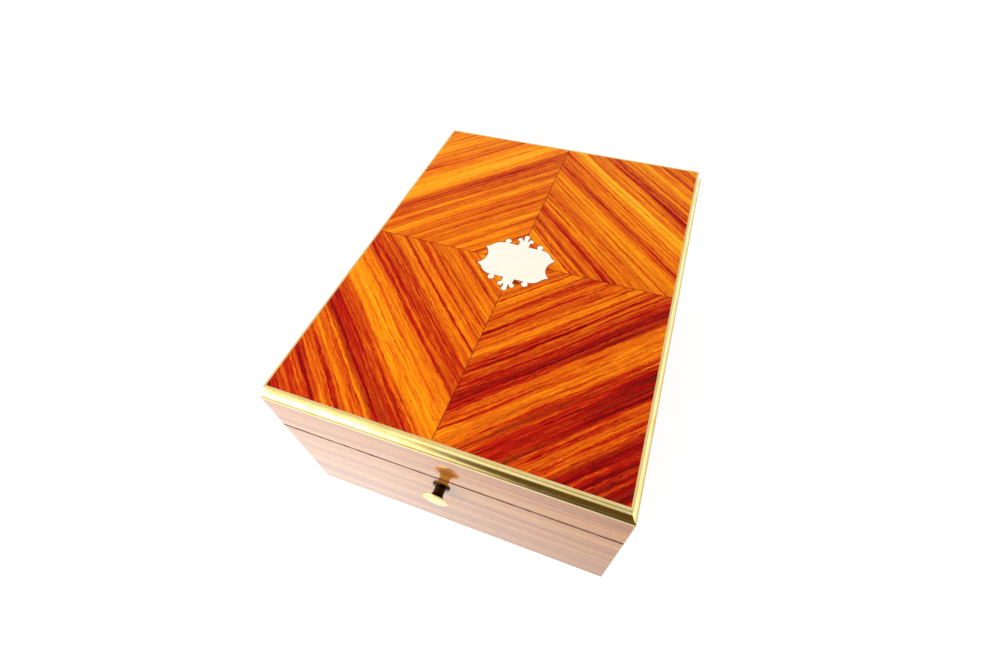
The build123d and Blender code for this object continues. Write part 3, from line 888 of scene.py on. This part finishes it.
def slotted_screw(name, place, direction, slot_turn, body):
    """A countersunk screw with its head flush at the place, driven in the given direction."""
    profile = [
        (0, 0),
        (SCREW_HEAD - SCREW_EDGE, 0),
        (SCREW_HEAD, SCREW_EDGE),
        (SCREW_SHANK, SCREW_HEAD_DEPTH),
        (SCREW_SHANK, SCREW_LENGTH - SCREW_POINT),
        (0, SCREW_LENGTH),
    ]
    mesh = turned_mesh(profile)
    for axis, half in (((1, 0, 0), SLOT_LENGTH / 2 * MM), ((0, 1, 0), SLOT_WIDTH / 2 * MM)):
        for side in (-1, 1):
            bmesh.ops.bisect_plane(
                mesh,
                geom=mesh.verts[:] + mesh.edges[:] + mesh.faces[:],
                dist=MERGE_REACH,
                plane_co=Vector(axis) * half * side,
                plane_no=axis,
            )
    slot = []
    for face in mesh.faces:
        middle = face.calc_center_median() / MM
        level = middle.z < SCREW_EDGE / 2
        if level and abs(middle.x) < SLOT_LENGTH / 2 and abs(middle.y) < SLOT_WIDTH / 2:
            slot.append(face)
    bmesh.ops.inset_region(mesh, faces=slot, thickness=SLOT_EASE * MM, depth=-SLOT_DEPTH * MM)
    bmesh.ops.rotate(mesh, cent=(0, 0, 0), matrix=Matrix.Rotation(slot_turn, 3, "Z"), verts=mesh.verts)
    put(mesh, place, direction)
    add_piece(name, mesh, body, "brass", screw_brass)


def plate_screws():
    """The screws of the hinges, the catch and the strike, each with its slot at its own angle."""
    places = []
    rims = {"base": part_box("base_back_board")[1].z, "lid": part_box("lid_back_rail")[0].z}
    for body, drive in (("base", (0, 0, -1)), ("lid", (0, 0, 1))):
        for hinge in ("left", "right"):
            low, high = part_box(f"hinge_{hinge}_{body}_leaf")
            for side in (-1, 1):
                x = (low.x + high.x + side * HINGE_SCREW_SPREAD * MM) / 2
                place = (x, low.y + HINGE_SCREW_INSET * MM, rims[body])
                places.append((f"hinge_{hinge}_{body}", place, drive, body))
    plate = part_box("catch_plate")[1]
    strike_low, strike_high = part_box("strike_plate")
    for side in (-1, 1):
        x = side * CATCH_SCREW_SPREAD / 2 * MM
        places.append(("catch", (x, plate.y, plate.z - CATCH_SCREW_DROP * MM), (0, -1, 0), "base"))
        x = side * STRIKE_SCREW_SPREAD / 2 * MM
        y = (strike_low.y + strike_high.y) / 2
        places.append(("strike", (x, y, rims["lid"]), (0, 0, 1), "lid"))
    for number, (fitting, place, drive, body) in enumerate(places, 1):
        slotted_screw(f"{fitting}_screw_{number}", place, drive, number * SLOT_TURN, body)


def leaf_spring():
    """The bowed spring between plate and lever."""
    low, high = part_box("catch_spring")
    thickness = SPRING_THICKNESS * MM
    path = [
        (high.y, low.z),
        (high.y, low.z + SPRING_FOOT * MM),
        (low.y + thickness, high.z - SPRING_TAIL * MM),
        (high.y, high.z),
    ]
    mesh = bmesh.new()
    rows = [[mesh.verts.new((x, y, z)) for x in (low.x, high.x)] for y, z in path]
    for (left, right), (next_left, next_right) in zip(rows, rows[1:]):
        mesh.faces.new((left, right, next_right, next_left))
    bends = [edge for edge in mesh.edges if not edge.is_boundary]
    round_over(mesh, bends, SPRING_BEND * MM, SPRING_BEND_STEPS)
    thicken(mesh, mesh.faces[:], (0, -thickness, 0))
    spring = add_piece("leaf_spring", mesh, "base", "steel", spring_steel)
    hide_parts("catch_spring")
    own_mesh(spring)


def studio_floor():
    """A pale floor that is seen as white and keeps the box's shadow."""
    mesh = bmesh.new()
    bmesh.ops.create_grid(mesh, x_segments=1, y_segments=1, size=FLOOR_REACH)
    paper = Finish("floor_paper")
    paper.surface(Base_Color=grey(FLOOR_BOUNCE), Roughness=0.9, Specular_IOR_Level=0.0)
    across = paper.axes(paper.place())["X"]
    mirrored = paper.maths("MAXIMUM", paper.span(across, **FLOOR_FADE), paper.span(across, **FLOOR_RISE))
    camera_ray = paper.add("ShaderNodeLightPath").outputs["Is Camera Ray"]
    strength = paper.maths("MAXIMUM", mirrored, paper.maths("MULTIPLY", camera_ray, FLOOR_GLOW))
    glow = paper.add("ShaderNodeEmission", {"Color": grey(1.0), "Strength": strength})
    shade = paper.add("ShaderNodeBsdfDiffuse", {"Color": grey(FLOOR_SHADE)})
    seen = paper.add("ShaderNodeAddShader")
    paper.feed(seen.inputs[0], glow.outputs["Emission"])
    paper.feed(seen.inputs[1], shade.outputs["BSDF"])
    pick = paper.add("ShaderNodeMixShader", {"Fac": paper.seen_rays()})
    paper.feed(pick.inputs[1], paper.shader.outputs["BSDF"])
    paper.feed(pick.inputs[2], seen.outputs["Shader"])
    paper.feed(paper.tree.nodes["Material Output"].inputs["Surface"], pick.outputs["Shader"])
    floor = add_object("floor", mesh, paper.material)


def studio_sky():
    """Even light from all round, seen as white low down and dim overhead."""
    world = bpy.data.worlds.new("studio")
    bpy.context.scene.world = world
    world.use_nodes = True
    sky = Nodes(world.node_tree)
    sky.tree.nodes.clear()
    rise = sky.axes(sky.add("ShaderNodeTexCoord").outputs["Generated"])["Z"]
    heights = math.sin(SKY_DIM_FROM), math.sin(SKY_DIM_AT)
    seen = sky.span(rise, *heights, start=1.0, end=SKY_DIM, style="SMOOTHSTEP")
    strength = sky.add("ShaderNodeMix", {"Factor": sky.seen_rays(), "A": SKY_LIGHT, "B": seen})
    glow = {"Color": grey(1.0), "Strength": strength.outputs["Result"]}
    background = sky.add("ShaderNodeBackground", glow)
    sky.add("ShaderNodeOutputWorld", {"Surface": background.outputs["Background"]})


def softbox():
    """The broad lamp on the left."""
    data = bpy.data.lights.new("softbox", "AREA")
    data.shape = "RECTANGLE"
    data.size, data.size_y = SOFTBOX_SIZE
    data.energy = SOFTBOX_POWER
    lamp = bpy.data.objects.new("softbox", data)
    lamp.location = SOFTBOX_PLACE
    lamp.rotation_mode = "QUATERNION"
    lamp.rotation_quaternion = (SOFTBOX_AIM - SOFTBOX_PLACE).to_track_quat("-Z", "Y")
    bpy.context.scene.collection.objects.link(lamp)


def dark_card():
    """A dark card in front, out of view, for the brass and the polish to mirror."""
    mesh = bmesh.new()
    bmesh.ops.create_grid(mesh, x_segments=1, y_segments=1, size=0.5)
    bmesh.ops.scale(mesh, vec=(*DARK_CARD_SIZE, 1), verts=mesh.verts)
    bmesh.ops.rotate(mesh, matrix=Matrix.Rotation(math.pi / 2, 3, "X"), verts=mesh.verts)
    bmesh.ops.translate(mesh, vec=DARK_CARD_PLACE, verts=mesh.verts)
    felt = Finish("dark_felt")
    felt.surface(Base_Color=DARK_FELT, Roughness=0.9, Specular_IOR_Level=0.0)
    parts = felt.axes(felt.place())
    size = [side / MM for side in DARK_CARD_SIZE]
    reach = felt.ellipse((parts["X"], parts["Z"]), DARK_CARD_PLACE.xz / MM, size)
    felt.surface(Alpha=felt.span(reach, **DARK_CARD_FADE))
    card = add_object("dark_card", mesh, felt.material)
    card.visible_camera = False
    card.visible_diffuse = False
    card.visible_shadow = False


def photo_camera():
    """The camera at the photograph's place, angle and lens."""
    level = math.cos(CAMERA_ELEVATION)
    back = Vector(
        (
            math.sin(CAMERA_AZIMUTH) * level,
            -math.cos(CAMERA_AZIMUTH) * level,
            math.sin(CAMERA_ELEVATION),
        )
    )
    right = Vector((math.cos(CAMERA_AZIMUTH), math.sin(CAMERA_AZIMUTH), 0))
    up = back.cross(right)
    turn = Matrix((right, up, back)).transposed() @ Matrix.Rotation(CAMERA_ROLL, 3, "Z")
    data = bpy.data.cameras.new("camera")
    data.lens = CAMERA_LENS
    data.sensor_width = CAMERA_SENSOR
    data.clip_start = CAMERA_NEAR
    camera = bpy.data.objects.new("camera", data)
    camera.matrix_world = Matrix.Translation(CAMERA_PLACE) @ turn.to_4x4()
    bpy.context.scene.collection.objects.link(camera)
    bpy.context.scene.camera = camera


velvet_linings()
inlay()
turned_button()
turned_collar()
plate_screws()
leaf_spring()

studio_floor()
studio_sky()
softbox()
dark_card()
photo_camera()
bpy.context.scene.view_settings.view_transform = "Standard"
